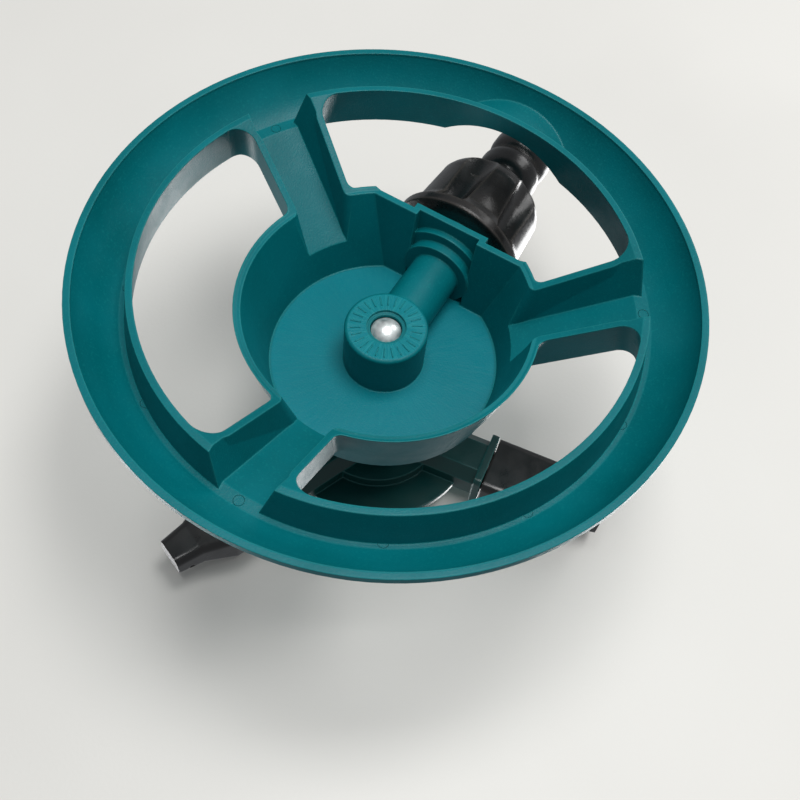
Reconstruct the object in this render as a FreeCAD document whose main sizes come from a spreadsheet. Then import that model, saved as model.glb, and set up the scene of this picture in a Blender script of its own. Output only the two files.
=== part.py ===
"""Three-arm whirling lawn sprinkler on a hollow wheel base, with its hose coupling.

Millimetres, +Z up.  The origin is on the rotor's axis, in the plane that the wheel's rim
stands on.  The hose comes in along +X, and one spoke points along -X.
"""
import FreeCAD, Part
import Sketcher
import math
import os

DIMENSIONS = {
    # wheel: a hollow ring, three hollow spokes and a cup-shaped hub, in one moulding
    "wall": 1.8,
    "ring_radius": 80.0,
    "ring_lip": 2.2,
    "ring_height": 13.4,
    "ring_bulge": 20.0,
    "crest_outer": 69.0,
    "crest_inner": 65.2,
    "gap_radius": 63.5,
    "ring_draft": 9.6,
    "gap_corner": 5.0,
    "hub_corner": 2.4,
    "spoke_width": 21.5,
    "spoke_draft": 6.0,
    "web_width": 11.7,
    "spoke_rise": 29.7,
    "hub_rim_radius": 40.2,
    "hub_rim_height": 13.8,
    "hub_top_radius": 33.4,
    "hub_top": 40.7,
    "hub_edge_round": 1.6,
    # flat front of the hub, where the water comes in
    "front_flat": 32.5,
    "front_draft": 7.4,
    "pad_flat": 34.4,
    "pad_width": 22.5,
    "saddle_radius": 30.0,
    "saddle_floor": 6.8,
    # inlet pipe, boss and stem
    "inlet_height": 31.0,
    "pipe_radius": 7.2,
    "pipe_bore": 4.2,
    "collar_radius": 10.25,
    "collar_start": 28.0,
    "spigot_radius": 13.2,
    "spigot_bore": 10.2,
    "spigot_length": 16.0,
    "boss_radius": 11.4,
    "boss_face": 23.5,
    "boss_round": 0.9,
    "boss_recess_radius": 5.4,
    "boss_recess_depth": 0.8,
    "pin_pocket_radius": 4.4,
    "pin_pocket_depth": 2.2,
    "boss_floor": 2.5,
    "stem_radius": 8.0,
    "stem_bore": 5.0,
    "stem_top": 66.0,
    # axle pin and what it holds
    "pin_radius": 2.5,
    "pin_head_radius": 4.1,
    "pin_head_rim": 0.7,
    "pin_proud": 0.4,
    "seal_thick": 0.6,
    "running_gap": 0.05,
    "free_gap": 0.4,
    "washer_thick": 1.5,
    "top_washer_thick": 0.8,
    "nut_flats": 8.0,
    "nut_thick": 3.0,
    "pin_end": 0.7,
    # rotor
    "arm_height": 80.0,
    "hub_body_radius": 15.0,
    "step_radius": 20.5,
    "step_low": 3.5,
    "plate_radius": 30.5,
    "plate_thick": 2.0,
    "skirt_wall": 1.45,
    "chamber_radius": 12.6,
    "seal_depth": 4.0,
    "bush_wall": 1.6,
    "bush_length": 8.0,
    "bush_flange": 0.6,
    "ring_seal_thick": 2.0,
    "rotor_deep": 7.0,
    "rotor_high": 6.5,
    "recess_radius": 8.0,
    "recess_deep": 3.0,
    "rotor_roof": 2.0,
    "top_bush_radius": 4.5,
    "cap_radius": 10.5,
    "cap_rise": 4.0,
    "cap_wall": 1.4,
    "arm_bar_width": 16.0,
    "arm_bevel": 3.4,
    "socket_bore": 6.1,
    "socket_start": 25.0,
    "socket_end": 37.6,
    "collar_thick": 2.3,
    "collar_width": 18.4,
    "collar_high": 14.8,
    "collar_round": 1.6,
    "duct_radius": 4.4,
    "plug_bore": 3.2,
    "rotor_turn": 81.8,
    # nozzle arms
    "arm_width": 19.0,
    "arm_deep": 13.0,
    "waist_width": 11.6,
    "waist_deep": 10.0,
    "tip_width": 9.6,
    "tip_deep": 8.6,
    "shoulder_at": 58.0,
    "waist_at": 67.0,
    "tip_radius": 75.0,
    "corner_round": 2.4,
    "nozzle_wall": 1.6,
    "jet_radius": 0.9,
    "jet_at": 71.0,
    "jet_tilt": 25.0,
    "o_ring_radius": 0.9,
    "o_ring_at": 31.0,
    # hose coupling
    "nut_start": 37.5,
    "nut_skirt_radius": 19.8,
    "nut_skirt_end": 40.4,
    "nut_flare_end": 44.0,
    "nut_lobe_radius": 17.6,
    "nut_shoulder_radius": 16.9,
    "nut_shoulder_at": 56.5,
    "nut_dome_radius": 8.0,
    "nut_nose_radius": 10.8,
    "nut_nose": 64.6,
    "nut_flute_low": 4.2,
    "nut_flute_high": 6.6,
    "nut_flute_out": 19.6,
    "nut_flutes": 6.0,
    "nut_phase": 14.0,
    "gasket_thick": 2.0,
    "tail_flange": 2.6,
    "tail_flange_inset": 0.8,
    "tail_neck_radius": 9.5,
    "tail_step_radius": 8.3,
    "tail_step": 2.8,
    "tail_root_radius": 8.3,
    "tail_ridge_radius": 9.5,
    "tail_land": 2.0,
    "tail_flank": 3.6,
    "tail_flank_radius": 6.0,
    "tail_bore": 6.4,
    "tail_lip": 1.0,
}

document = FreeCAD.newDocument("whirling_sprinkler")
sheet = document.addObject("Spreadsheet::Sheet", "dims")
for row, (word, number) in enumerate(DIMENSIONS.items(), start=1):
    sheet.set(f"A{row}", word)
    sheet.set(f"B{row}", str(number))
    sheet.setAlias(f"B{row}", word)
document.recompute()


class Size:
    """A size worked out from the sheet: its value now, and the expression that keeps it bound."""

    def __init__(self, value, text):
        self.value = value
        self.text = text

    def __add__(self, other):
        return Size(self.value + size(other).value, f"({self.text} + {size(other).text})")

    def __sub__(self, other):
        return Size(self.value - size(other).value, f"({self.text} - {size(other).text})")

    def __mul__(self, other):
        return Size(self.value * size(other).value, f"({self.text} * {size(other).text})")

    def __truediv__(self, other):
        return Size(self.value / size(other).value, f"({self.text} / {size(other).text})")

    def __neg__(self):
        return Size(-self.value, f"(-1 * {self.text})")

    def __rsub__(self, other):
        return size(other) - self

    __radd__ = __add__
    __rmul__ = __mul__


def size(number):
    return number if isinstance(number, Size) else Size(float(number), repr(float(number)))


def tangent(angle):
    return Size(math.tan(math.radians(size(angle).value)), f"tan({size(angle).text})")


def sine(angle):
    return Size(math.sin(math.radians(size(angle).value)), f"sin({size(angle).text})")


def cosine(angle):
    return Size(math.cos(math.radians(size(angle).value)), f"cos({size(angle).text})")


class Sheet:
    """The sheet's values by name, each one a bound Size."""

    def __getattr__(self, word):
        return Size(DIMENSIONS[word], "dims." + word)


d = Sheet()
sub_parts = []


def bind(thing, **settings):
    for name, value in settings.items():
        thing.setExpression(name.replace("__", "."), size(value).text)
    return thing


def place(thing, x=0, y=0, z=0, turn=None, axis=(0, 0, 1), angle=0):
    """Sets a placement; x, y, z and a turn about +Z may be bound sizes."""
    start = angle if turn is None else size(turn).value
    thing.Placement = FreeCAD.Placement(
        FreeCAD.Vector(size(x).value, size(y).value, size(z).value),
        FreeCAD.Rotation(FreeCAD.Vector(*axis), start))
    for name, value in (("x", x), ("y", y), ("z", z)):
        if isinstance(value, Size):
            thing.setExpression("Placement.Base." + name, value.text)
    if turn is not None:
        thing.setExpression("Placement.Rotation.Angle", size(turn).text)
    return thing


def cylinder(name, radius, height, **where):
    return place(bind(document.addObject("Part::Cylinder", name), Radius=radius, Height=height), **where)


def cone(name, low_radius, high_radius, height, **where):
    thing = document.addObject("Part::Cone", name)
    return place(bind(thing, Radius1=low_radius, Radius2=high_radius, Height=height), **where)


def box(name, length, width, height, **where):
    thing = document.addObject("Part::Box", name)
    return place(bind(thing, Length=length, Width=width, Height=height), **where)


def fuse(name, shapes):
    thing = document.addObject("Part::MultiFuse", name)
    thing.Shapes = shapes
    return thing


def cut(name, base, tool):
    thing = document.addObject("Part::Cut", name)
    thing.Base, thing.Tool = base, tool
    return thing


def common(name, first, second):
    thing = document.addObject("Part::MultiCommon", name)
    thing.Shapes = [first, second]
    return thing


def rounded(name, base, radius, wanted):
    """Rounds the edges of base that wanted(edge) picks out."""
    document.recompute()
    thing = document.addObject("Part::Fillet", name)
    thing.Base = base
    picked = [i for i, edge in enumerate(base.Shape.Edges, start=1) if wanted(edge)]
    thing.Edges = [(i, radius.value, radius.value) for i in picked]
    return thing


def plane_of(body, role):
    return next(o for o in body.Origin.OriginFeatures if o.Role == role)


def sketch_on(body, name, role, offset=None):
    sketch = body.newObject("Sketcher::SketchObject", name)
    sketch.AttachmentSupport = [(plane_of(body, role), "")]
    sketch.MapMode = "FlatFace"
    if offset is not None:
        sketch.AttachmentOffset = FreeCAD.Placement(
            FreeCAD.Vector(0, 0, offset.value), FreeCAD.Rotation())
        sketch.setExpression("AttachmentOffset.Base.z", offset.text)
    return sketch


def draw(sketch, points):
    """Draws a closed outline through points (x, y), both bound.

    A third entry makes the side that leaves a point an arc of that radius: it bulges to the
    right of its direction of travel when positive, and to the left when negative.
    """
    count = len(points)
    flat = FreeCAD.Vector(0, 0, 1)
    starts, ends = [], []
    for i, point in enumerate(points):
        here = FreeCAD.Vector(size(point[0]).value, size(point[1]).value, 0)
        following = points[(i + 1) % count]
        there = FreeCAD.Vector(size(following[0]).value, size(following[1]).value, 0)
        if len(point) == 2:
            sketch.addGeometry(Part.LineSegment(here, there))
            starts.append(1)
            ends.append(2)
            continue
        radius = size(point[2])
        side = 1 if radius.value > 0 else -1
        chord = there - here
        left = FreeCAD.Vector(-chord.y, chord.x, 0).normalize()
        reach = math.sqrt(radius.value ** 2 - (chord.Length / 2) ** 2)
        centre = here + chord * 0.5 + left * (side * reach)
        first, last = (here, there) if side > 0 else (there, here)
        angles = [math.atan2(p.y - centre.y, p.x - centre.x) for p in (first, last)]
        arc = Part.ArcOfCircle(Part.Circle(centre, flat, abs(radius.value)), *angles)
        sketch.addGeometry(arc)
        starts.append(1 if side > 0 else 2)
        ends.append(2 if side > 0 else 1)
        k = sketch.addConstraint(Sketcher.Constraint("Radius", i, abs(radius.value)))
        sketch.setExpression(f"Constraints[{k}]", radius.text if side > 0 else (-radius).text)
    for i, point in enumerate(points):
        j = (i + 1) % count
        sketch.addConstraint(Sketcher.Constraint("Coincident", i, ends[i], j, starts[j]))
        for kind, line, value in (("DistanceX", -2, size(point[0])), ("DistanceY", -1, size(point[1]))):
            if value.value == 0.0:
                sketch.addConstraint(Sketcher.Constraint("PointOnObject", i, starts[i], line))
                continue
            k = sketch.addConstraint(Sketcher.Constraint(kind, -1, 1, i, starts[i], value.value))
            sketch.setExpression(f"Constraints[{k}]", value.text)
    return sketch


def turned(name, outline, about="V_Axis"):
    """A body turned about +Z (V_Axis) or +X (H_Axis) from an outline in the XZ plane."""
    body = document.addObject("PartDesign::Body", name)
    sketch = draw(sketch_on(body, name + "_outline", "XZ_Plane"), outline)
    turn = body.newObject("PartDesign::Revolution", name + "_turn")
    turn.Profile = sketch
    turn.ReferenceAxis = (sketch, [about])
    turn.Angle = 360
    return body


def hollow_cylinder(name, inner, outer, low, high):
    return turned(name, [(inner, low), (outer, low), (outer, high), (inner, high)])


def keep(thing, label):
    thing.Label = label
    sub_parts.append(thing)
    return thing


BELOW = size(2.0)
SPOKES = 3
half_sector = size(180.0 / SPOKES)
hub_lean = (d.hub_rim_radius - d.hub_top_radius) / (d.hub_top - d.hub_rim_height)
tool_height = d.hub_top + 3 * BELOW


# ---- wheel base -----------------------------------------------------------------------------
def web_top(radius):
    """Height of a spoke's upper face at a radius."""
    return d.ring_height + (d.crest_inner - radius) * tangent(d.spoke_rise)


def wheel_section(name, inner, radius, bulge, crest, lowest, lip, drop):
    """Turned section of roof-shaped ring and sloping spoke web."""
    foot = [(inner, lowest), (radius, lowest)] if lowest.value < 0 else [
        (inner, (d.gap_radius - inner) * tangent(d.spoke_rise)),
        (d.gap_radius, size(0)), (radius, size(0))]
    return turned(name, foot + [
        (radius, lip, bulge),
        (crest, d.ring_height - drop),
        (d.crest_inner, d.ring_height - drop),
        (inner, web_top(inner) - drop / cosine(d.spoke_rise))])


def hub_form(name, inset):
    """Tall cone of the hub with its flat front, set in from the outside by inset."""
    low = d.hub_rim_radius + (d.hub_rim_height + BELOW) * hub_lean - inset
    high = low - tool_height * hub_lean
    form = cone(name + "_cone", low, high, tool_height, z=-BELOW)
    foot = d.front_flat - inset + (d.hub_rim_height + BELOW) * tangent(d.front_draft)
    front = box(name + "_front", d.ring_radius, 2 * d.ring_radius, 2 * tool_height,
                x=foot, y=-d.ring_radius, z=-BELOW, turn=-d.front_draft, axis=(0, 1, 0))
    pad = box(name + "_pad", d.pad_flat, d.pad_width - 2 * inset, tool_height,
              x=-inset, y=inset - d.pad_width / 2, z=-BELOW)
    return cut(name, form, cut(name + "_away", front, pad))


def slab(name, low, high):
    return box(name, 2 * d.ring_radius, 2 * d.ring_radius, high - low,
               x=-d.ring_radius, y=-d.ring_radius, z=low)


def on_spoke_side(offset, by_ring):
    """Picks a gap's upright edges on the sides of its two spokes, by the ring or by the hub."""
    middle = (d.gap_radius.value + d.hub_rim_radius.value) / 2

    def wanted(edge):
        low, high = edge.BoundBox.ZMin, edge.BoundBox.ZMax
        if high - low < 0.9 * tool_height.value or len(edge.Vertexes) != 2:
            return False
        foot = min((v.Point for v in edge.Vertexes), key=lambda p: p.z)
        lean = math.radians(half_sector.value)
        across = abs(foot.x * math.sin(lean) - abs(foot.y) * math.cos(lean))
        widening = BELOW.value * math.tan(math.radians(d.spoke_draft.value))
        near = math.hypot(foot.x, foot.y) > middle
        return abs(across - offset.value) < 0.2 + widening and near == by_ring
    return wanted


def ring_wall(name, inset):
    """The drafted cone of the ring's inner wall, grown by inset."""
    low = d.gap_radius - BELOW * tangent(d.ring_draft) + inset
    return cone(name, low, low + tool_height * tangent(d.ring_draft), tool_height, z=-BELOW)


def gap_form(name, inset, hub):
    """One opening between two spokes, grown on all sides by inset, with rounded corners."""
    body = document.addObject("PartDesign::Body", name + "_sector")
    apex = (d.spoke_width / 2 - inset) / sine(half_sector)
    reach = (d.ring_radius + d.ring_lip - apex) * tangent(half_sector)
    far = d.ring_radius + d.ring_lip
    sketch = draw(sketch_on(body, name + "_outline", "XY_Plane", -BELOW),
                  [(apex, size(0)), (far, -reach), (far, reach)])
    pad = body.newObject("PartDesign::Pad", name + "_prism")
    pad.Profile = sketch
    bind(pad, Length=tool_height, TaperAngle=d.spoke_draft)
    sharp = cut(name + "_sharp", common(name + "_part", body, ring_wall(name + "_ring", inset)), hub)
    side = d.spoke_width / 2 - inset
    soft = rounded(name + "_soft", sharp, d.gap_corner + inset, on_spoke_side(side, True))
    return rounded(name, soft, d.hub_corner, on_spoke_side(side, False))


def gaps(name, inset, front_hub, plain_hub):
    """The three openings; the one over the inlet follows the hub's flat front."""
    first = gap_form(name + "_front", inset, front_hub)
    others = [place(gap_form(f"{name}_{i}", inset, plain_hub), angle=i * 2 * half_sector.value)
              for i in range(1, SPOKES)]
    return [first] + others


def plain_hub(name, inset):
    low = d.hub_rim_radius + (d.hub_rim_height + BELOW) * hub_lean - inset
    return cone(name, low, low - tool_height * hub_lean, tool_height, z=-BELOW)


void_lip = size(0.6)
wheel = wheel_section("wheel_form", d.hub_top_radius - d.wall / 2, d.ring_radius, d.ring_bulge,
                      d.crest_outer, size(0), d.ring_lip, size(0))
wheel_void = wheel_section("wheel_void", d.hub_top_radius - 2 * d.wall, d.ring_radius - d.wall,
                           d.ring_bulge - d.wall, d.crest_outer - d.wall / 4, -BELOW, void_lip, d.wall)
hub_tall = hub_form("hub_form", size(0))
hub_tall_void = hub_form("hub_void_form", d.wall)
hub_outer = rounded(
    "hub_outer", common("hub_sharp", hub_tall, slab("hub_slab", d.hub_rim_height, d.hub_top)),
    d.hub_edge_round, lambda edge: edge.BoundBox.ZMin > d.hub_top.value - 0.01)
hub_void = common("hub_void", hub_tall_void, slab("hub_void_slab", -BELOW, d.hub_top - d.wall))

saddle_place = {"z": d.saddle_floor + d.saddle_radius, "x": d.hub_rim_radius, "axis": (0, 1, 0), "angle": 90}
saddle = cylinder("saddle", d.saddle_radius, d.ring_radius, **saddle_place)
saddle_void = cylinder("saddle_void", d.saddle_radius + d.wall, d.ring_radius, **saddle_place)

outside = fuse("outside", [wheel, hub_outer])
for i, gap in enumerate(gaps("gap", size(0), hub_tall, plain_hub("hub_plain", size(0)))):
    outside = cut(f"outside_{i}", outside, gap)
outside = cut("outside_saddled", outside, saddle)
inside = fuse("inside", [wheel_void, hub_void])
for i, gap in enumerate(gaps("solid", d.wall, hub_tall_void, plain_hub("hub_plain_void", d.wall))):
    inside = cut(f"inside_{i}", inside, gap)
inside = cut("inside_saddled", inside, saddle_void)


def web_side(name, side):
    """A block beside the web of the spoke on +X: its inner face leans from wall to web."""
    bottom = d.spoke_width / 2 - d.wall
    slope = math.radians(d.spoke_rise.value)
    along = FreeCAD.Vector(-math.cos(slope), 0, math.sin(slope))
    depth = web_top(d.gap_radius) - d.wall
    lean = FreeCAD.Vector(0, (d.web_width / 2 - bottom).value * side, depth.value)
    turn = FreeCAD.Rotation(along, along.cross(lean) * side, FreeCAD.Vector(), "XYZ")
    overrun = d.ring_radius - d.gap_radius
    block = box(name, d.gap_radius, d.spoke_width / 2, d.ring_height * 4)
    foot = FreeCAD.Vector(d.gap_radius.value, bottom.value * side, 0)
    middle = turn.multVec(FreeCAD.Vector(overrun.value, 0, 2 * d.ring_height.value))
    block.Placement = FreeCAD.Placement(foot - middle, turn)
    return block


around_webs = cut("around_webs", ring_wall("web_zone", d.wall), plain_hub("web_hub", d.wall))
for i in range(SPOKES):
    pair = fuse(f"web_sides_{i}", [web_side(f"web_side_{i}_{k}", k) for k in (1, -1)])
    place(pair, angle=180 + i * 2 * half_sector.value)
    inside = cut(f"inside_web_{i}", inside, common(f"web_fill_{i}", pair, around_webs))
shell = cut("shell", outside, inside)

along_x = {"axis": (0, 1, 0), "angle": 90, "z": d.inlet_height}
pocket_top = d.boss_face + d.boss_recess_depth + d.pin_pocket_depth
chamber_floor = pocket_top + d.boss_floor
spigot_end = d.pad_flat + d.spigot_length
boss = rounded("boss", cylinder("boss_sharp", d.boss_radius, d.hub_top - d.boss_face, z=d.boss_face),
               d.boss_round, lambda edge: edge.BoundBox.ZMax < d.boss_face.value + 0.1)
body_parts = fuse("base_body", [
    shell,
    boss,
    cylinder("pipe", d.pipe_radius, d.front_flat, **along_x),
    cylinder("pipe_collar", d.collar_radius, d.front_flat - d.collar_start, x=d.collar_start, **along_x),
    cylinder("spigot", d.spigot_radius, spigot_end - d.front_flat + d.wall,
             x=d.front_flat - d.wall, **along_x),
    cylinder("stem", d.stem_radius, d.stem_top - d.hub_top + d.wall, z=d.hub_top - d.wall)])
bores = fuse("base_bores", [
    cylinder("boss_recess", d.boss_recess_radius, d.boss_recess_depth + BELOW, z=d.boss_face - BELOW),
    cylinder("pin_pocket", d.pin_pocket_radius, pocket_top - d.boss_face + BELOW, z=d.boss_face - BELOW),
    cylinder("pin_hole", d.pin_radius, d.hub_top - d.boss_face, z=d.boss_face),
    cylinder("stem_hole", d.stem_bore, d.stem_top - chamber_floor + BELOW, z=chamber_floor),
    cylinder("pipe_hole", d.pipe_bore, spigot_end + BELOW - d.stem_bore + d.wall / 2,
             x=d.stem_bore - d.wall / 2, **along_x),
    cylinder("spigot_hole", d.spigot_bore, d.spigot_length + BELOW, x=d.pad_flat, **along_x)])
wheel_base = keep(cut("wheel_base_solid", body_parts, bores), "wheel_base")

# ---- axle pin, its seal, washers and nut ------------------------------------------------------
recess_floor = d.arm_height + d.rotor_high - d.recess_deep
bush_top = recess_floor + d.bush_flange
nut_seat = bush_top + d.running_gap + d.top_washer_thick
nut_top = nut_seat + d.nut_thick
head_seat = pocket_top - d.seal_thick
dome_edge = head_seat - d.pin_head_rim
dome_rise = dome_edge - d.boss_face + d.pin_proud
dome_radius = (d.pin_head_radius * d.pin_head_radius + dome_rise * dome_rise) / (2 * dome_rise)
axle_pin = keep(turned("axle_pin_body", [
    (size(0), d.boss_face - d.pin_proud, dome_radius), (d.pin_head_radius, dome_edge),
    (d.pin_head_radius, head_seat), (d.pin_radius, head_seat),
    (d.pin_radius, nut_top + d.pin_end), (size(0), nut_top + d.pin_end)]), "axle_pin")
axle_seal = keep(hollow_cylinder("axle_seal_body", d.pin_radius, d.pin_head_radius, head_seat, pocket_top),
                 "axle_seal")
bush_outer = d.stem_radius + d.running_gap + d.bush_wall
skirt_radius = bush_outer + d.skirt_wall
lower_washer = keep(hollow_cylinder("lower_washer_body", d.stem_radius, skirt_radius,
                                    d.hub_top, d.hub_top + d.washer_thick), "lower_washer")
upper_washer = keep(hollow_cylinder("upper_washer_body", d.pin_radius, d.top_bush_radius,
                                    bush_top + d.running_gap, nut_seat), "upper_washer")
nut_corner = d.nut_flats / 2 / cosine(30)
nut_body = document.addObject("PartDesign::Body", "axle_nut_body")
nut_pad = nut_body.newObject("PartDesign::Pad", "axle_nut_pad")
nut_pad.Profile = draw(sketch_on(nut_body, "axle_nut_outline", "XY_Plane", nut_seat),
                       [(nut_corner * cosine(60 * i), nut_corner * sine(60 * i)) for i in range(6)])
bind(nut_pad, Length=d.nut_thick)
nut_thread = cylinder("axle_nut_bore", d.pin_radius, d.nut_thick + 2 * BELOW, z=nut_seat - BELOW)
axle_nut = keep(cut("axle_nut_solid", nut_body, nut_thread), "axle_nut")

# ---- rotor ------------------------------------------------------------------------------------
rotor_low = d.arm_height - d.rotor_deep
rotor_top = d.arm_height + d.rotor_high
skirt_low = d.hub_top + d.washer_thick + d.running_gap
roof_low = recess_floor - d.rotor_roof
seal_low = d.stem_top - d.seal_depth - d.ring_seal_thick
step_low = rotor_low + d.step_low
plate_low = step_low + 2 * d.plate_thick
core = turned("rotor_core", [
    (size(0), skirt_low), (skirt_radius, skirt_low), (skirt_radius, rotor_low),
    (d.hub_body_radius, rotor_low), (d.hub_body_radius, step_low), (d.step_radius, step_low),
    (d.step_radius, plate_low), (d.plate_radius, plate_low), (d.plate_radius, plate_low + d.plate_thick),
    (d.hub_body_radius, plate_low + d.plate_thick), (d.hub_body_radius, rotor_top), (size(0), rotor_top)])
arm_starts = [i * 360.0 / 3 for i in range(3)]
rotor_middle = (rotor_low + rotor_top) / 2
across = {"z": d.arm_height, "axis": (0, 1, 0), "angle": 90}


def arm_bar(name):
    """One eight-sided arm of the rotor along +X, from the axis to its collar."""
    body = document.addObject("PartDesign::Body", name)
    side, inner = d.arm_bar_width / 2, d.arm_bar_width / 2 - d.arm_bevel
    pad = body.newObject("PartDesign::Pad", name + "_pad")
    pad.Profile = draw(sketch_on(body, name + "_outline", "YZ_Plane"), [
        (-inner, rotor_low), (inner, rotor_low), (side, rotor_low + d.arm_bevel),
        (side, rotor_top - d.arm_bevel), (inner, rotor_top), (-inner, rotor_top),
        (-side, rotor_top - d.arm_bevel), (-side, rotor_low + d.arm_bevel)])
    bind(pad, Length=d.socket_end)
    return body


arms = []
for i, start in enumerate(arm_starts):
    ring = box(f"arm_{i}_ring", d.collar_thick, d.collar_width, d.collar_high,
               x=d.socket_end - d.collar_thick, y=-d.collar_width / 2, z=rotor_middle - d.collar_high / 2)
    collar = rounded(f"arm_{i}_collar", ring, d.collar_round, lambda edge: edge.BoundBox.XLength > 1)
    arms.append(place(fuse(f"arm_{i}", [arm_bar(f"arm_{i}_bar"), collar]), angle=start))
rotor_form = fuse("rotor_form", [core] + arms)
bush_sleeve = d.top_bush_radius - d.top_washer_thick
rotor_bores = [
    cylinder("skirt_bore", d.stem_radius + d.free_gap, roof_low - skirt_low + BELOW, z=skirt_low - BELOW),
    cylinder("bush_seat", bush_outer, d.bush_length + BELOW, z=skirt_low - BELOW),
    cylinder("seal_seat", bush_outer, d.ring_seal_thick, z=seal_low),
    cylinder("chamber", d.chamber_radius, roof_low - rotor_low - d.wall, z=rotor_low + d.wall),
    cylinder("top_bush_seat", bush_sleeve, d.rotor_roof + 2 * BELOW, z=roof_low - BELOW),
    cylinder("cap_recess", d.recess_radius, d.recess_deep + BELOW, z=recess_floor)]
for i, start in enumerate(arm_starts):
    passage = fuse(f"passage_{i}", [
        cylinder(f"duct_{i}", d.duct_radius, d.socket_end - d.hub_body_radius / 2,
                 x=d.hub_body_radius / 2, **across),
        cylinder(f"socket_{i}", d.socket_bore, d.socket_end - d.socket_start + BELOW, x=d.socket_start,
                 **across)])
    rotor_bores.append(place(passage, angle=start))
rotor_hub = cut("rotor_hub_solid", rotor_form, fuse("rotor_bores", rotor_bores))
keep(place(rotor_hub, turn=d.rotor_turn), "rotor_hub")

stem_bush = keep(hollow_cylinder("stem_bush_body", d.stem_radius + d.running_gap, bush_outer,
                                 skirt_low, skirt_low + d.bush_length), "stem_bush")
stem_seal = keep(hollow_cylinder("stem_seal_body", d.stem_radius + d.running_gap, bush_outer,
                                 seal_low, seal_low + d.ring_seal_thick), "stem_seal")
top_bush = keep(turned("top_bush_body", [
    (d.pin_radius + d.running_gap, roof_low), (bush_sleeve, roof_low), (bush_sleeve, recess_floor),
    (d.top_bush_radius, recess_floor), (d.top_bush_radius, bush_top),
    (d.pin_radius + d.running_gap, bush_top)]), "top_bush")
cap_low = rotor_top
rotor_cap = keep(turned("rotor_cap_body", [
    (d.recess_radius - d.cap_wall, recess_floor), (d.recess_radius, recess_floor),
    (d.recess_radius, cap_low), (d.cap_radius, cap_low), (d.cap_radius, cap_low + d.cap_wall),
    (d.recess_radius, cap_low + d.cap_rise), (size(0), cap_low + d.cap_rise),
    (size(0), cap_low + d.cap_rise - d.cap_wall),
    (d.recess_radius - d.cap_wall, cap_low + d.cap_rise - d.cap_wall)]), "rotor_cap")


# ---- nozzle arms and their O-rings --------------------------------------------------------------
def rounded_section(body, name, at, wide, deep):
    """A rounded rectangle across the arm at a distance from the rotor's axis."""
    sketch = sketch_on(body, name, "YZ_Plane", at)
    x, z, r = wide / 2, deep / 2, d.corner_round
    low, high = d.arm_height - z, d.arm_height + z
    return draw(sketch, [
        (r - x, low), (x - r, low, r), (x, low + r), (x, high - r, r),
        (x - r, high), (r - x, high, r), (-x, high - r), (-x, low + r, r)])


def nozzle_form(name, inset):
    """The nozzle's tapering body, or its hollow when it is set in by a wall."""
    body = document.addObject("PartDesign::Body", name)
    stations = [
        (arm_face + inset, d.arm_width, d.arm_deep), (d.shoulder_at, d.arm_width, d.arm_deep),
        (d.waist_at, d.waist_width, d.waist_deep), (d.tip_radius - inset, d.tip_width, d.tip_deep)]
    sections = [rounded_section(body, f"{name}_{k}", at, wide - 2 * inset, deep - 2 * inset)
                for k, (at, wide, deep) in enumerate(stations)]
    loft = body.newObject("PartDesign::AdditiveLoft", name + "_loft")
    loft.Profile = sections[0]
    loft.Sections = sections[1:]
    loft.Ruled = True
    return body


arm_face = d.socket_end + d.free_gap
plug_radius = d.socket_bore - d.running_gap
plug_start = d.socket_start + d.free_gap
groove_radius = plug_radius + d.running_gap - 2 * d.o_ring_radius
groove_end = d.o_ring_at + 2 * d.o_ring_radius
for i, start in enumerate(arm_starts):
    plug_length = arm_face + d.wall / 2 - plug_start
    plug = cylinder(f"nozzle_{i}_plug", plug_radius, plug_length, x=plug_start, **across)
    groove = place(hollow_cylinder(f"nozzle_{i}_groove", groove_radius, plug_radius + BELOW,
                                   size(0), 2 * d.o_ring_radius), x=d.o_ring_at, **across)
    bore = cylinder(f"nozzle_{i}_bore", d.plug_bore, arm_face + 2 * d.wall - d.socket_start,
                    x=d.socket_start, **across)
    jet = cylinder(f"nozzle_{i}_jet", d.jet_radius, d.arm_width, x=d.jet_at, z=d.arm_height,
                   axis=(1, 0, 0), angle=90.0 - DIMENSIONS["jet_tilt"])
    whole = fuse(f"nozzle_{i}_whole", [nozzle_form(f"nozzle_{i}", size(0)), plug])
    hollow = nozzle_form(f"nozzle_{i}_hollow", d.nozzle_wall)
    solid = cut(f"nozzle_{i}_solid", whole, fuse(f"nozzle_{i}_cuts", [groove, bore, jet, hollow]))
    keep(place(solid, turn=d.rotor_turn + start), f"nozzle_arm_{i + 1}")
    seal = turned(f"o_ring_{i}", [
        (d.o_ring_at, groove_radius), (d.o_ring_at, plug_radius),
        (groove_end, plug_radius), (groove_end, groove_radius)], about="H_Axis")
    keep(place(seal, z=d.arm_height, turn=d.rotor_turn + start), f"arm_seal_{i + 1}")

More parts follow.
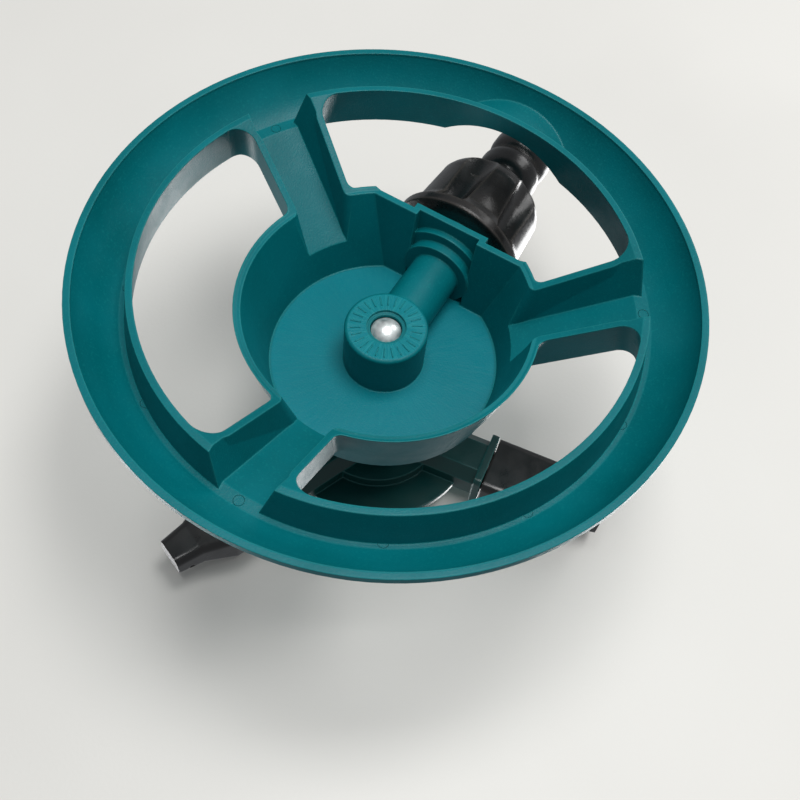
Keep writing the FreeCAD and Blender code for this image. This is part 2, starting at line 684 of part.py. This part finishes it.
# ---- hose coupling: nut, tail and gasket --------------------------------------------------------
gasket_end = spigot_end + d.gasket_thick
flange_end = gasket_end + d.tail_flange
nut_bore = d.spigot_radius + d.free_gap
nut_hole = d.tail_neck_radius + d.free_gap
nut_round = turned("nut_round", [
    (d.nut_start, nut_hole), (d.nut_start, d.nut_skirt_radius), (d.nut_skirt_end, d.nut_skirt_radius),
    (d.nut_flare_end, d.nut_lobe_radius), (d.nut_shoulder_at, d.nut_shoulder_radius, -d.nut_dome_radius),
    (d.nut_nose, d.nut_nose_radius), (d.nut_nose, nut_hole)], about="H_Axis")
nut_tools = [cylinder("nut_bore", nut_bore, flange_end + d.free_gap - d.nut_start + BELOW,
                      x=d.nut_start - BELOW, axis=(0, 1, 0), angle=90)]
for i in range(int(DIMENSIONS["nut_flutes"])):
    turn = size(360.0) / d.nut_flutes * i + d.nut_phase
    flute_long = d.nut_nose - d.nut_skirt_end + BELOW
    nut_tools.append(cone(f"nut_flute_{i}", d.nut_flute_low, d.nut_flute_high, flute_long,
                          x=d.nut_skirt_end, y=d.nut_flute_out * sine(turn),
                          z=d.nut_flute_out * cosine(turn), axis=(0, 1, 0), angle=90))
nut_solid = cut("coupling_nut_solid", nut_round, fuse("nut_cuts", nut_tools))
coupling_nut = keep(place(nut_solid, z=d.inlet_height), "coupling_nut")

ridge_start = d.nut_nose + d.tail_step
tail_pitch = 2 * d.tail_flank + d.tail_land
tail_end = ridge_start + 3 * tail_pitch + d.tail_lip
ridges = []
for i in range(3):
    at = ridge_start + i * tail_pitch
    ridges += [(at, d.tail_root_radius, -d.tail_flank_radius), (at + d.tail_flank, d.tail_ridge_radius),
               (at + d.tail_flank + d.tail_land, d.tail_ridge_radius, -d.tail_flank_radius)]
tail_flange_radius = d.spigot_radius - d.tail_flange_inset
tail_body = turned("hose_tail_body", [
    (gasket_end, d.tail_bore), (gasket_end, tail_flange_radius), (flange_end, tail_flange_radius),
    (flange_end, d.tail_neck_radius), (d.nut_nose, d.tail_neck_radius), (d.nut_nose, d.tail_step_radius),
    ] + ridges + [
    (tail_end - d.tail_lip, d.tail_root_radius), (tail_end, d.tail_root_radius),
    (tail_end, d.tail_bore)], about="H_Axis")
keep(place(tail_body, z=d.inlet_height), "hose_tail")
gasket = turned("tail_gasket_body", [
    (spigot_end, d.spigot_bore), (spigot_end, d.spigot_radius), (gasket_end, d.spigot_radius),
    (gasket_end, d.spigot_bore)], about="H_Axis")
keep(place(gasket, z=d.inlet_height), "tail_gasket")

# ---- check every object, then write each sub-part -----------------------------------------------
document.recompute()
for thing in document.Objects:
    if "Invalid" in thing.State or "Error" in thing.State:
        raise RuntimeError(f"{thing.Name} failed: {thing.State}")
os.makedirs("parts", exist_ok=True)
for thing in sub_parts:
    if thing.Shape.isNull() or not thing.Shape.isValid() or len(thing.Shape.Solids) != 1:
        raise RuntimeError(f"{thing.Label} has no single valid solid")
for thing in sub_parts:
    thing.Shape.exportStep(f"parts/{thing.Label}.step")
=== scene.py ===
import math

import bpy
from mathutils import Matrix, Vector


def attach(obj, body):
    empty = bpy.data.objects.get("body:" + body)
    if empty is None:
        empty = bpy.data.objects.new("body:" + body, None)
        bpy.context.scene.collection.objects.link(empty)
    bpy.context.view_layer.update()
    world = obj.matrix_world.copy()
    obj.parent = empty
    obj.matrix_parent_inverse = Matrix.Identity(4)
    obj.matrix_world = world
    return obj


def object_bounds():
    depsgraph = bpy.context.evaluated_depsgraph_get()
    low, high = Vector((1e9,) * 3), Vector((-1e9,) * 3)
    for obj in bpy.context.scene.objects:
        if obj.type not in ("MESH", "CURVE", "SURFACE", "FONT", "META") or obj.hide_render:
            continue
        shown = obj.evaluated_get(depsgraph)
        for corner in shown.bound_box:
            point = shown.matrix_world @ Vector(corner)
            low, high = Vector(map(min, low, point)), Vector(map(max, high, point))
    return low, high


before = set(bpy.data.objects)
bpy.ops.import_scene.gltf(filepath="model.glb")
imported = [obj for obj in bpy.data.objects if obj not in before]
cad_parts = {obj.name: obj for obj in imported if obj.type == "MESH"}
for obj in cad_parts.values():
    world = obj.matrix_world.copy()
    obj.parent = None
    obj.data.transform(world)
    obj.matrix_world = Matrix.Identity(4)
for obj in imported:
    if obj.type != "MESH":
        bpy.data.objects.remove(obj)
cad_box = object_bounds()
scene = bpy.context.scene
scene.view_settings.view_transform = "Standard"

# ---- The bench and the light -----------------------------------------------------------------
# A plain pale sheet under the wheel, and another over the rotor for when the sprinkler is seen
# from below, as when it lies upside down on a bench.  Each sheet shows on its one side only.


class Wire:
    """A socket's output, with arithmetic that adds Math nodes to its tree."""

    def __init__(self, tree, socket):
        self.tree = tree
        self.socket = socket

    def math(self, operation, *others):
        node = self.tree.nodes.new("ShaderNodeMath")
        node.operation = operation
        for slot, value in zip(node.inputs, (self,) + others):
            join(self.tree, value, slot)
        return Wire(self.tree, node.outputs[0])

    def __add__(self, other):
        return self.math("ADD", other)

    def __sub__(self, other):
        return self.math("SUBTRACT", other)

    def __mul__(self, other):
        return self.math("MULTIPLY", other)

    def __pow__(self, other):
        return self.math("POWER", other)

    def __rsub__(self, other):
        return (self * -1.0) + other

    __radd__ = __add__
    __rmul__ = __mul__


def join(tree, value, slot):
    if isinstance(value, Wire):
        tree.links.new(value.socket, slot)
    else:
        slot.default_value = value


class Finish:
    """A material and its tree.  add() puts in any node: its settings first, then its sockets."""

    def __init__(self, name):
        self.material = bpy.data.materials.new(name)
        self.material.use_nodes = True
        self.tree = self.material.node_tree
        self.tree.nodes.clear()

    def node(self, kind, settings=None, sockets=None):
        node = self.tree.nodes.new("ShaderNode" + kind)
        for name, value in (settings or {}).items():
            setattr(node, name, value)
        for key, value in (sockets or {}).items():
            join(self.tree, value, node.inputs[key])
        return node

    def add(self, kind, settings=None, sockets=None, out=0):
        return Wire(self.tree, self.node(kind, settings, sockets).outputs[out])

    def place(self, stretch=(1.0, 1.0, 1.0)):
        """Object coordinates in metres, each times its stretch."""
        here = self.add("TexCoord", out="Object")
        return self.add("Mapping", None, {"Vector": here, "Scale": stretch})

    def parts_of(self, vector):
        node = self.node("SeparateXYZ", None, {0: vector})
        return [Wire(self.tree, output) for output in node.outputs]

    def noise(self, fineness, detail=4.0, at=None):
        where = at or self.place()
        return self.add("TexNoise", None, {"Vector": where, "Scale": fineness, "Detail": detail})

    def span(self, value, low, high, to_low=0.0, to_high=1.0):
        """value taken from low..high to to_low..to_high, and held at the ends."""
        return self.add("MapRange", None, {0: value, 1: low, 2: high, 3: to_low, 4: to_high})

    def mix(self, factor, first, second):
        return self.add("Mix", {"data_type": "RGBA"}, {0: factor, 6: first, 7: second}, out=2)

    def bump(self, height, distance, strength, normal=None):
        more = {} if normal is None else {"Normal": normal}
        return self.add("Bump", None, {"Height": height, "Distance": distance, "Strength": strength, **more})

    def soft_edges(self, radius):
        """The normal of edges rounded by radius, and a mask that is 1 along them."""
        smooth = self.add("Bevel", {"samples": 6}, {"Radius": radius})
        flat = self.add("NewGeometry", out="Normal")
        likeness = self.add("VectorMath", {"operation": "DOT_PRODUCT"}, {0: smooth, 1: flat}, out="Value")
        return smooth, self.span(likeness, 1.0, 0.9)

    def done(self, **sockets):
        named = {name.replace("_", " "): value for name, value in sockets.items()}
        surface = self.add("BsdfPrincipled", None, named)
        return self.finished(surface)

    def finished(self, surface):
        self.tree.links.new(surface.socket, self.tree.nodes.new("ShaderNodeOutputMaterial").inputs[0])
        return self.material


def srgb(red, green, blue):
    """A colour of 0 to 255 a channel, as the linear values that a shader takes."""
    linear = [c / 255 / 12.92 if c <= 10 else ((c / 255 + 0.055) / 1.055) ** 2.4 for c in (red, green, blue)]
    return (*linear, 1.0)


def paper_sheet(name, height, half_side, upward):
    """A square level sheet that shows from one side only, and throws no shadow or reflection."""
    mesh = bpy.data.meshes.new(name)
    corners = [(-half_side, -half_side, height), (half_side, -half_side, height),
               (half_side, half_side, height), (-half_side, half_side, height)]
    mesh.from_pydata(corners if upward else corners[::-1], [], [(0, 1, 2, 3)])
    sheet = bpy.data.objects.new(name, mesh)
    scene.collection.objects.link(sheet)
    paper = Finish(name)
    tone = paper.span(paper.noise(7.0, 3.0), 0.3, 0.7)
    fibre = paper.bump(paper.noise(900.0, 2.0), 0.0001, 0.3)
    colour = paper.mix(tone, srgb(213, 211, 206), srgb(219, 217, 212))
    front = paper.add("BsdfPrincipled", None, {"Base Color": colour, "Roughness": 0.5, "Normal": fibre})
    behind = paper.add("NewGeometry", out="Backfacing")
    clear = paper.add("BsdfTransparent")
    mesh.materials.append(paper.finished(paper.add("MixShader", None, {0: behind, 1: front, 2: clear})))
    sheet.visible_shadow = False
    sheet.visible_diffuse = False
    sheet.visible_glossy = False


# A sheet lies a hair off the face that rests on it, so that the two never share one plane.
hair = 0.0002
paper_sheet("ground_sheet", cad_box[0].z - hair, 3.0, True)
paper_sheet("bench_sheet", cad_box[1].z + hair, 1.5, False)

# The room gives a dim even light, and looks pale itself where the view goes past the sheets.
world = bpy.data.worlds.new("pale_room")
world.use_nodes = True
room = world.node_tree.nodes
sky = room["Background"]
sky.inputs[0].default_value = (0.92, 0.96, 1.0, 1.0)
sky.inputs[1].default_value = 0.28
wall = room.new("ShaderNodeBackground")
wall.inputs[0].default_value = srgb(222, 223, 222)
seen_wall = room.new("ShaderNodeMixShader")
world.node_tree.links.new(room.new("ShaderNodeLightPath").outputs["Is Camera Ray"], seen_wall.inputs[0])
world.node_tree.links.new(sky.outputs[0], seen_wall.inputs[1])
world.node_tree.links.new(wall.outputs[0], seen_wall.inputs[2])
world.node_tree.links.new(seen_wall.outputs[0], room["World Output"].inputs[0])
scene.world = world


def soft_light(name, place, aim_height, side, watts):
    """A square lamp that points at a height on the rotor's axis."""
    data = bpy.data.lights.new(name, "AREA")
    data.shape, data.size, data.energy = "SQUARE", side, watts
    light = bpy.data.objects.new(name, data)
    scene.collection.objects.link(light)
    light.location = place
    towards = Vector((0.0, 0.0, aim_height)) - Vector(place)
    light.rotation_euler = towards.to_track_quat("-Z", "Y").to_euler()


soft_light("lamp_over_left", (-0.5, -0.6, 0.9), 0.04, 0.6, 6.0)
soft_light("lamp_over_right", (1.6, 0.9, 2.4), 0.04, 2.0, 60.0)
soft_light("lamp_under", (0.1, 0.15, -1.6), 0.05, 0.9, 25.5)
soft_light("lamp_under_side", (0.75, 0.3, -0.45), 0.05, 0.4, 1.6)

# The view is from below and from the side away from the hose, about 0.26 m off.
eye = Vector((-0.1403, 0.0697, -0.2094))
ahead = Vector((0.4565, -0.2044, 0.866)).normalized()
right = Vector((0.51125, 0.85676, -0.0673))
right = (right - ahead * right.dot(ahead)).normalized()
lens = bpy.data.cameras.new("eye")
lens.lens, lens.sensor_width = 46.8, 36.0
lens.clip_start, lens.clip_end = 0.01, 20.0
camera = bpy.data.objects.new("eye", lens)
scene.collection.objects.link(camera)
turn = Matrix((right, right.cross(ahead), -ahead)).transposed()
camera.matrix_world = Matrix.Translation(eye) @ turn.to_4x4()
scene.camera = camera

# ---- Wheel base --------------------------------------------------------------------------------
# One injection moulding in coloured polypropylene: hollow ring, three channel spokes, cup hub,
# inlet pipe and stem.  Satin, finely grained, paler on its edges from rubbing and from a painted highlight,
# with ejector marks.


def wear(node, finish):
    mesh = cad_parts[node].data
    mesh.materials.clear()
    mesh.materials.append(finish)


edge_round = 0.0007
boss_face = 0.0235
boss_face_radius = 0.0104
cup_floor = 0.0389
cup_floor_radius = 0.0312
teal = Finish("teal_polypropylene")
x, y, z = teal.parts_of(teal.place())
radius = (x * x + y * y) ** 0.5
bearing = y.math("ARCTAN2", x)
cloud = teal.span(teal.noise(30.0, 5.0), 0.32, 0.68)
speck = teal.span(teal.noise(1500.0, 2.0), 0.56, 0.7)
smooth, edge_wear_and_highlight = teal.soft_edges(edge_round)

# The boss's face and the cup's floor get painted light that makes them paler, and have streaks out from the
# middle as the melt ran.
around = teal.add("CombineXYZ", None, {0: bearing * 9.0, 1: radius * 30.0})
rays = teal.add("TexNoise", {"noise_dimensions": "2D"}, {"Vector": around, "Scale": 3.0, "Detail": 5.0})
drawn = teal.span(rays, 0.4, 0.62)
on_boss = teal.span(z, boss_face + 0.0006, boss_face + 0.0003)
on_boss = on_boss * teal.span(radius, boss_face_radius + 0.0004, boss_face_radius)
on_floor = teal.span(z, cup_floor - 0.0006, cup_floor - 0.0002)
on_floor = on_floor * teal.span(z, cup_floor + 0.0012, cup_floor + 0.0006)
on_floor = on_floor * teal.span(radius, cup_floor_radius + 0.0007, cup_floor_radius)
streaked = on_boss + on_floor * 0.12
body = teal.mix(cloud, srgb(0, 93, 99), srgb(2, 108, 116))
# Painted light: the boss's face and the cup's floor are lightened as if lit more strongly than the ring.
body = teal.mix((on_boss + on_floor) * 0.55, body, srgb(2, 124, 138))
body = teal.mix(speck * 0.3, body, srgb(20, 126, 128))
body = teal.mix(drawn * streaked * 0.5, body, srgb(30, 138, 142))
# The edges are painted paler: partly real rubbing, partly a painted highlight where the rounded edges catch
# the light.
body = teal.mix(edge_wear_and_highlight * 0.5, body, srgb(40, 140, 142))
rubbed = teal.span(teal.noise(140.0, 4.0), 0.3, 0.7, 0.33, 0.45)
grain = teal.noise(2200.0, 3.0) + teal.noise(380.0, 3.0) * 0.6
relief = teal.bump(grain, 0.00007, 0.8, teal.bump(drawn * streaked, 0.00012, 0.7, smooth))
teal_plastic = teal.done(
    Base_Color=body, Roughness=rubbed - edge_wear_and_highlight * 0.08, Normal=relief, Specular_IOR_Level=0.16)
wear("wheel_base", teal_plastic)


class Growth:
    """A Geometry Nodes tree with named inputs, which ends in Realize Instances and Set Material."""

    def __init__(self, name, sizes):
        self.tree = bpy.data.node_groups.new(name, "GeometryNodeTree")
        self.sizes = sizes
        self.tree.interface.new_socket("Geometry", in_out="OUTPUT", socket_type="NodeSocketGeometry")
        kinds = {int: "NodeSocketInt", float: "NodeSocketFloat"}
        for word, value in sizes.items():
            self.tree.interface.new_socket(word, in_out="INPUT", socket_type=kinds[type(value)])
        self.given = self.tree.nodes.new("NodeGroupInput")

    def size(self, word):
        return Wire(self.tree, self.given.outputs[word])

    def add(self, kind, settings=None, sockets=None, out=0):
        node = self.tree.nodes.new(kind)
        for name, value in (settings or {}).items():
            setattr(node, name, value)
        for key, value in (sockets or {}).items():
            join(self.tree, value, node.inputs[key])
        return Wire(self.tree, node.outputs[out])

    def vector(self, x=0.0, y=0.0, z=0.0):
        return self.add("ShaderNodeCombineXYZ", None, {0: x, 1: y, 2: z})

    def made(self, name, geometry, material, body):
        real = self.add("GeometryNodeRealizeInstances", None, {0: geometry})
        coated = self.add("GeometryNodeSetMaterial", None, {"Geometry": real, "Material": material})
        self.tree.links.new(coated.socket, self.tree.nodes.new("NodeGroupOutput").inputs[0])
        seed = bpy.data.objects.new(name + "_seed", bpy.data.meshes.new(name + "_seed"))
        scene.collection.objects.link(seed)
        modifier = seed.modifiers.new("growth", "NODES")
        modifier.node_group = self.tree
        for item in self.tree.interface.items_tree:
            if item.in_out == "INPUT":
                modifier[item.identifier] = self.sizes[item.name]
        grown = seed.evaluated_get(bpy.context.evaluated_depsgraph_get())
        mesh = bpy.data.meshes.new_from_object(grown)
        bpy.data.objects.remove(seed)
        mesh.name = name
        piece = bpy.data.objects.new(name, mesh)
        scene.collection.objects.link(piece)
        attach(piece, body)
        return piece


# Short raised strokes round the boss's face, a plain pattern.
strokes = Growth("boss_strokes", {
    "Count": 26, "Radius": 0.0084, "Length": 0.0028, "Thick": 0.00042, "Level": boss_face - 0.00002})
points = strokes.add("GeometryNodeMeshCircle", None, {
    "Vertices": strokes.size("Count"), "Radius": strokes.size("Radius")})
bar = strokes.add("GeometryNodeMeshCylinder", None, {
    "Vertices": 10, "Radius": strokes.size("Thick") * 0.5, "Depth": strokes.size("Length")})
lying = strokes.add("GeometryNodeTransform", None, {
    "Geometry": bar, "Rotation": strokes.vector(0.0, math.pi / 2)})
here = strokes.add("GeometryNodeInputPosition")
point_x = strokes.add("ShaderNodeSeparateXYZ", None, {0: here}, out=0)
point_y = strokes.add("ShaderNodeSeparateXYZ", None, {0: here}, out=1)
outward = strokes.vector(0.0, 0.0, point_y.math("ARCTAN2", point_x))
facing = strokes.add("FunctionNodeEulerToRotation", None, {0: outward})
fan = strokes.add("GeometryNodeInstanceOnPoints", None, {
    "Points": points, "Instance": lying, "Rotation": facing})
raised = strokes.add("GeometryNodeTransform", None, {
    "Geometry": fan, "Translation": strokes.vector(0.0, 0.0, strokes.size("Level"))})
strokes.made("boss_strokes", raised, teal_plastic, "base")

# Round marks that the mould's ejector pins leave along the ring's crest, but not in the saddle
# under the hose, where the crest is cut away: Reach is how far along +X the marks go.
marks = Growth("ejector_marks", {
    "Count": 12, "Radius": 0.0669, "Mark": 0.00135, "Rim": 0.00009, "Level": 0.01158, "Reach": 0.062})
spots = marks.add("GeometryNodeMeshCircle", None, {
    "Vertices": marks.size("Count"), "Radius": marks.size("Radius")})
circle = marks.add("GeometryNodeCurvePrimitiveCircle", None, {"Resolution": 28, "Radius": marks.size("Mark")})
section = marks.add("GeometryNodeCurvePrimitiveCircle", None, {"Resolution": 6, "Radius": marks.size("Rim")})
hoop = marks.add("GeometryNodeCurveToMesh", None, {0: circle, 1: section})
along = marks.add("ShaderNodeSeparateXYZ", None, {0: marks.add("GeometryNodeInputPosition")})
on_crest = along.math("LESS_THAN", marks.size("Reach"))
hoops = marks.add("GeometryNodeInstanceOnPoints", None, {
    "Points": spots, "Instance": hoop, "Selection": on_crest})
hoops = marks.add("GeometryNodeTransform", None, {
    "Geometry": hoops, "Translation": marks.vector(0.0, 0.0, marks.size("Level"))})
marks.made("ejector_marks", hoops, teal_plastic, "base")

# ---- Axle pin, nut, washers, bushes and seals -------------------------------------------------------
# A nickel-plated steel pin with a domed head, which holds the rotor on the stem.  It is pressed
# in from below over a small seal, with a washer and a hexagon nut on its upper end.

steel = Finish("plated_steel")
sx, sy, sz = steel.parts_of(steel.place())
from_axis = (sx * sx + sy * sy) ** 0.5
turned = steel.add("CombineXYZ", None, {0: from_axis * 5000.0, 1: sz * 5000.0})
turning = steel.noise(1.0, 3.0, turned)
scuffs = steel.span(steel.noise(420.0, 5.0), 0.35, 0.7)
steel_coat = steel.done(
    Base_Color=steel.mix(scuffs, srgb(232, 236, 235), srgb(214, 224, 222)),
    Metallic=steel.span(scuffs, 0.0, 1.0, 0.85, 0.4),
    Roughness=steel.span(scuffs, 0.0, 1.0, 0.3, 0.44),
    Normal=steel.bump(turning, 0.00003, 0.5, steel.bump(scuffs, 0.00006, 0.6)))
for node in ("axle_pin", "upper_washer", "axle_nut"):
    wear(node, steel_coat)

# Washer and bushes in white acetal, turned, with faint lathe rings.
acetal = Finish("white_acetal")
ax, ay = acetal.parts_of(acetal.place())[:2]
rings = ((ax * ax + ay * ay) ** 0.5 * 9000.0).math("SINE")
acetal_coat = acetal.done(
    Base_Color=acetal.mix(acetal.noise(60.0), srgb(226, 222, 210), srgb(238, 236, 228)), Roughness=0.38,
    Normal=acetal.bump(rings, 0.00002, 0.4), Subsurface_Weight=0.15, Subsurface_Radius=(0.002, 0.0018, 0.0014))
for node in ("lower_washer", "stem_bush", "top_bush"):
    wear(node, acetal_coat)

# Seals in black rubber, dusty and dull.
rubber = Finish("black_rubber")
dust = rubber.span(rubber.noise(260.0, 6.0), 0.45, 0.75)
rubber_coat = rubber.done(
    Base_Color=rubber.mix(dust, srgb(19, 19, 20), srgb(52, 51, 49)), Roughness=0.68,
    Normal=rubber.bump(rubber.noise(1800.0, 3.0), 0.00005, 0.6))
for node in ("axle_seal", "stem_seal", "tail_gasket", "arm_seal_1", "arm_seal_2", "arm_seal_3"):
    wear(node, rubber_coat)

# ---- Rotor ---------------------------------------------------------------------------------------
# Three hollow arms on a round plate and a long skirt, moulded in a darker green and closed by a
# cap pressed in on top.  The skirt turns on the stem over a bush and a lip seal.

dark = Finish("dark_green_plastic")
shade = dark.span(dark.noise(34.0, 5.0), 0.3, 0.7)
dark_smooth, dark_edge_wear_and_highlight = dark.soft_edges(edge_round)
tone = dark.mix(shade, srgb(0, 50, 49), srgb(4, 64, 61))
# The edges are painted paler: partly real rubbing, partly a painted highlight where the rounded edges catch
# the light.
tone = dark.mix(dark_edge_wear_and_highlight * 0.55, tone, srgb(40, 118, 116))
dark_grain = dark.noise(2200.0, 3.0) + dark.noise(420.0, 3.0) * 0.5
dark_rubbed = dark.span(dark.noise(150.0, 4.0), 0.3, 0.7, 0.3, 0.42)
dark_relief = dark.bump(dark_grain, 0.00006, 0.7, dark_smooth)
dark_plastic = dark.done(Base_Color=tone, Roughness=dark_rubbed, Normal=dark_relief)
for node in ("rotor_hub", "rotor_cap"):
    wear(node, dark_plastic)

# ---- Nozzle arms, coupling nut and hose tail -------------------------------------------------------
# Glossy black polypropylene mouldings, with a painted brown light along their edges, as of light shining
# through the thin wall.  The nozzles push into the rotor's sockets, and the nut holds the hose tail on the
# wheel's spigot.


def black_plastic(name, lit_edge_colour, edge, shine):
    """Black plastic that is painted browner along its edges, as light shining through the thin plastic, with
    fine scratches; shine is its lowest roughness.
    """
    black = Finish(name)
    rounded, lit_edge_mask = black.soft_edges(edge)
    patch = black.span(black.noise(55.0, 5.0), 0.35, 0.7)
    tone = black.mix(patch, srgb(17, 17, 18), srgb(31, 29, 28))
    # Painted light: the edges are tinted brown as if lit through the thin plastic.
    tone = black.mix(lit_edge_mask * 0.4, tone, lit_edge_colour)
    scratch = black.noise(1.0, 3.0, black.place((500.0, 2600.0, 2600.0)))
    flaw = black.noise(900.0, 3.0) + scratch * 0.7
    gloss = black.span(black.noise(240.0, 4.0), 0.3, 0.72, shine, shine + 0.14)
    return black.done(Base_Color=tone, Roughness=gloss, Normal=black.bump(flaw, 0.00005, 0.6, rounded),
                      Coat_Weight=0.25, Coat_Roughness=0.12)


nozzle_black = black_plastic("black_plastic", srgb(62, 56, 51), 0.0008, 0.26)
for node in ("nozzle_arm_1", "nozzle_arm_2", "nozzle_arm_3"):
    wear(node, nozzle_black)
nut_black = black_plastic("black_plastic_nut", srgb(78, 72, 66), 0.0016, 0.2)
for node in ("coupling_nut", "hose_tail"):
    wear(node, nut_black)

# The spigot's thread, which shows in the gap between the hub's pad and the nut.
thread = Growth("spigot_thread", {
    "Turns": 5.5, "Radius": 0.01318, "Pitch": 0.0024, "Ridge": 0.00042, "Start": 0.0352, "Level": 0.031})
coil = thread.add("GeometryNodeCurveSpiral", None, {
    "Resolution": 48, "Rotations": thread.size("Turns"), "Start Radius": thread.size("Radius"),
    "End Radius": thread.size("Radius"), "Height": thread.size("Turns") * thread.size("Pitch")})
ridge = thread.add("GeometryNodeCurvePrimitiveCircle", None, {"Resolution": 6, "Radius": thread.size("Ridge")})
coil = thread.add("GeometryNodeCurveToMesh", None, {0: coil, 1: ridge, "Fill Caps": True})
coil = thread.add("GeometryNodeTransform", None, {
    "Geometry": coil, "Rotation": thread.vector(0.0, math.pi / 2),
    "Translation": thread.vector(thread.size("Start"), 0.0, thread.size("Level"))})
thread.made("spigot_thread", coil, teal_plastic, "base")
